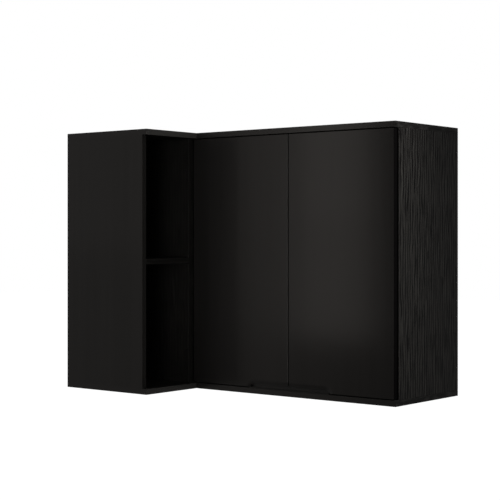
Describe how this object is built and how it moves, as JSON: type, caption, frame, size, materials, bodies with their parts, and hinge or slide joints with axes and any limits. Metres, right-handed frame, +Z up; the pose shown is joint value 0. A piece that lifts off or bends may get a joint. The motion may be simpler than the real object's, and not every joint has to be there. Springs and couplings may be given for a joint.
{
  "type": "corner kitchen wall cabinet",
  "caption": "L-shaped corner kitchen wall cabinet with hinged flat doors, a finger pull, a shelf inside and an open shelved niche on the short leg.",
  "frame": {"origin": "on the wall, midway between the two wall-screw holes of the upper hanging rail", "axes": "+X to the right along the back wall, +Y into the wall, +Z up; the doors face -Y and the niche leg stands at the left end"},
  "size_m": [0.945, 0.5, 0.7],
  "materials": {
    "black_board": "black melamine on chipboard with a fine embossed vertical wood grain, satin",
    "black_door": "black melamine door board with a faint vertical grain, satin",
    "hardboard": "thin hardboard, black lacquered face",
    "beech": "plain grooved beech",
    "zinc": "die-cast zinc",
    "steel": "zinc-plated steel",
    "hinge_steel": "nickel-plated pressed steel",
    "black_plastic": "black moulded plastic"
  },
  "bodies": {
    "carcass": {"main_top_panel": "black_board", "main_bottom_panel": "black_board", "niche_top_panel": "black_board", "niche_bottom_panel": "black_board", "left_side_panel": "black_board", "right_side_panel": "black_board", "niche_front_panel": "black_board", "niche_rear_panel": "black_board", "niche_shelf": "black_board", "main_shelf": "black_board", "corner_post": "black_board", "hinge_stile": "black_board", "rear_post": "black_board", "upper_hanging_rail": "black_board", "lower_hanging_rail": "black_board", "corner_back_panel": "hardboard", "main_back_panel": "hardboard", "niche_back_panel": "hardboard", "dowels": "beech", "cam_locks": "zinc", "cam_bolts": "steel", "joining_screws": "steel", "post_screws": "steel", "left_hinge_plate_screws": "steel", "right_hinge_plate_screws": "steel", "left_hinge_arm_screws": "steel", "right_hinge_arm_screws": "steel", "left_hinge_arms": "hinge_steel", "right_hinge_arms": "hinge_steel", "left_hinge_plates": "hinge_steel", "right_hinge_plates": "hinge_steel", "shelf_pins": "black_plastic"},
    "left_door": {"left_door": "black_door", "left_hinge_cups": "hinge_steel", "left_hinge_pins": "steel", "left_hinge_cup_screws": "steel", "left_pull_cup": "black_plastic"},
    "right_door": {"right_door": "black_door", "right_hinge_cups": "hinge_steel", "right_hinge_pins": "steel", "right_hinge_cup_screws": "steel", "right_pull_cup": "black_plastic"}
  },
  "joints": [
    {"name": "left_door_swing", "type": "hinge", "parent": "carcass", "child": "left_door", "pos_m": [-0.1765, -0.294, -0.3], "axis": [0, 0, -1], "range_deg": [0, 90]},
    {"name": "right_door_swing", "type": "hinge", "parent": "carcass", "child": "right_door", "pos_m": [0.4615, -0.294, -0.3], "axis": [0, 0, 1], "range_deg": [0, 95]}
  ]
}
